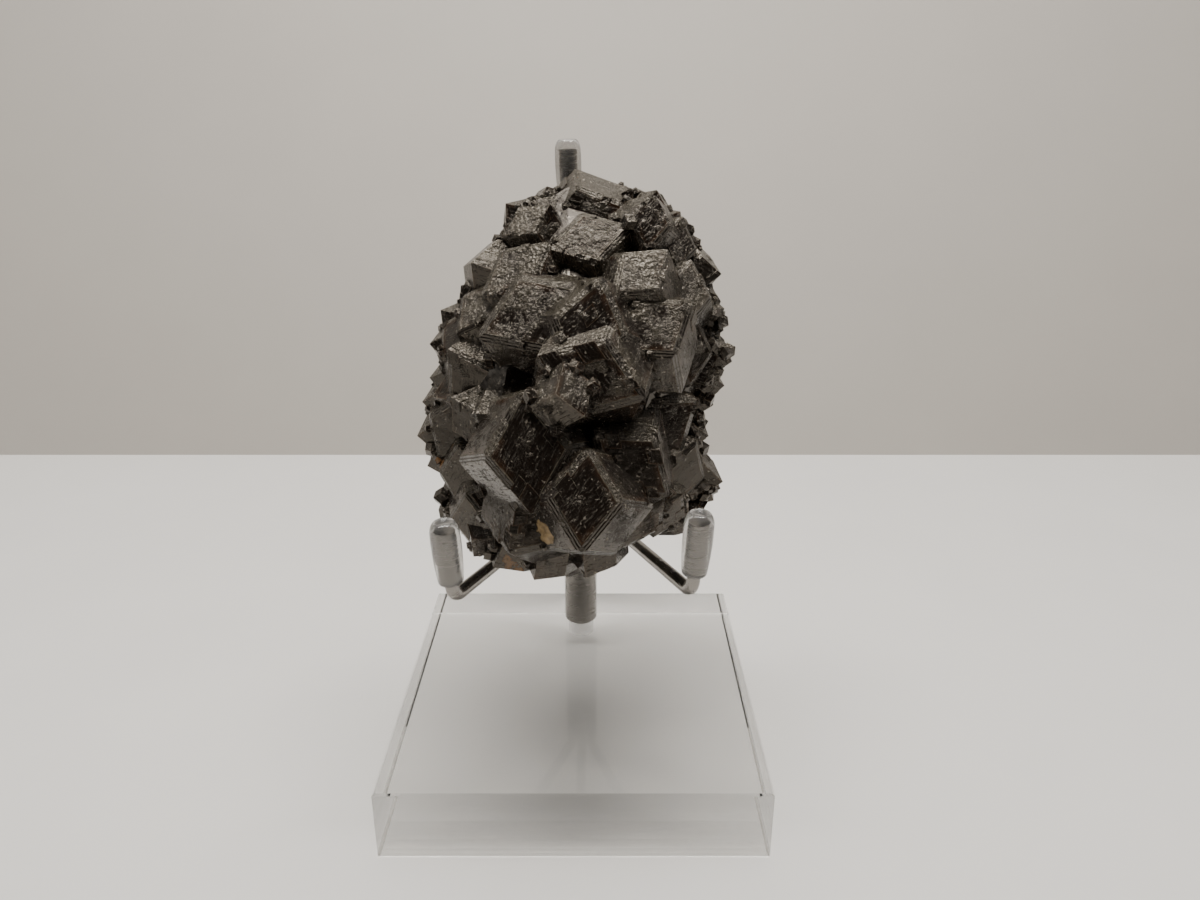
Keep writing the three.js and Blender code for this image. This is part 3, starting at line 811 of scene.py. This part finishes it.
# Rusty clay in a few hollows, each a place and a radius
TAN = (0.42, 0.29, 0.14, 1)
RUST = (0.13, 0.06, 0.018, 1)
clay = maths("MULTIPLY", near((-3.3, -24.5, 52.6), 1.9),
             ranged(tree, fine_cloud, 0.35, 0.6, 0.5, 0.95))
body = mixed(clay, body, TAN)
for stain in (((-9.5, -20.0, 43.2), 2.9), ((-21.0, -8.0, 56.5), 1.2)):
    body = mixed(maths("MULTIPLY", near(*stain), 0.9), body, RUST)
tree.links.new(body, shader.inputs["Base Color"])
tree.links.new(ranged(tree, noise(420.0, 4.0, 0.65), 0.38, 0.62, 0.16, 0.25),
               shader.inputs["Roughness"])

placed("andradite_crystals", cluster_mesh, garnet, "garnet", "andradite_cluster")


# The table and the wall behind it
# A sheet of white board on the table, and a grey-white wall that leans back behind it.

def stage_sheet(name, corners, colour):
    """A flat sheet between four corners, in metres."""
    mesh = bpy.data.meshes.new(name)
    mesh.from_pydata(corners, [], [(0, 1, 2, 3)])
    sheet = bpy.data.objects.new(name, mesh)
    material, tree, shader, place = started(name)
    grain = joined(tree, "TexNoise", {"Vector": place, "Scale": 30.0, "Detail": 3.0})
    tint = ranged(tree, grain.outputs["Fac"], 0.3, 0.7, 0.97, 1.0)
    shade = joined(tree, "Mix", {}, data_type="RGBA")
    tree.links.new(tint, shade.inputs[0])
    shade.inputs[6].default_value = (0, 0, 0, 1)
    shade.inputs[7].default_value = colour
    tree.links.new(shade.outputs[2], shader.inputs["Base Color"])
    shader.inputs["Roughness"].default_value = 0.6
    mesh.materials.append(material)
    bpy.context.scene.collection.objects.link(sheet)


HALF_WIDTH = 1.2
WALL_FOOT = 0.143
stage_sheet("table_sheet", [(-HALF_WIDTH, -1.2, 0), (HALF_WIDTH, -1.2, 0),
                            (HALF_WIDTH, WALL_FOOT, 0), (-HALF_WIDTH, WALL_FOOT, 0)],
            (0.73, 0.715, 0.685, 1))
stage_sheet("wall_sheet", [(-HALF_WIDTH, WALL_FOOT, 0), (HALF_WIDTH, WALL_FOOT, 0),
                           (HALF_WIDTH, WALL_FOOT + 0.5, 0.9), (-HALF_WIDTH, WALL_FOOT + 0.5, 0.9)],
            (0.445, 0.417, 0.376, 1))


def soft_light(name, place, target, size, watts):
    """A square lamp of that size that faces its target."""
    lamp = bpy.data.lights.new(name, "AREA")
    lamp.shape = "RECTANGLE"
    lamp.size, lamp.size_y = size
    lamp.energy = watts
    lamp.color = (1.0, 0.965, 0.925)
    holder = bpy.data.objects.new(name, lamp)
    holder.location = place
    way = np.array(target) - np.array(place)
    tilt = np.arctan2(np.hypot(way[0], way[1]), -way[2])
    holder.rotation_euler = (tilt, 0, np.arctan2(way[1], way[0]) - np.pi / 2)
    bpy.context.scene.collection.objects.link(holder)


soft_light("top_light", (0.0, 0.05, 0.62), (0, 0, 0.06), (0.6, 0.45), 4.6)
soft_light("strip_light", (0.0, -0.02, 0.42), (0, 0, 0.06), (0.40, 0.03), 1.3)
soft_light("left_light", (-0.55, 0.05, 0.35), (0, 0, 0.06), (0.35, 0.4), 0.35)
soft_light("right_light", (0.55, 0.05, 0.35), (0, 0, 0.06), (0.35, 0.4), 0.35)

world = bpy.data.worlds.new("room")
world.use_nodes = True
room = world.node_tree
way = room.nodes.new("ShaderNodeTexCoord").outputs["Generated"]
ahead = joined(room, "SeparateXYZ", {"Vector": way}).outputs["Y"]
background = room.nodes["Background"].inputs
room.links.new(ranged(room, ahead, -0.2, 0.8, 0.012, 0.25), background["Strength"])
background["Color"].default_value = (0.95, 0.97, 1.0, 1)
bpy.context.scene.world = world

# The camera, at the height and slope from which the specimen was looked at
camera = bpy.data.objects.new("camera", bpy.data.cameras.new("camera"))
camera.data.lens = 27.0
camera.data.sensor_width = 36.0
camera.location = (0.0040, -0.1371, 0.1069)
camera.rotation_euler = (np.radians(90 - 20.58), 0, 0)
bpy.context.scene.collection.objects.link(camera)
bpy.context.scene.camera = camera
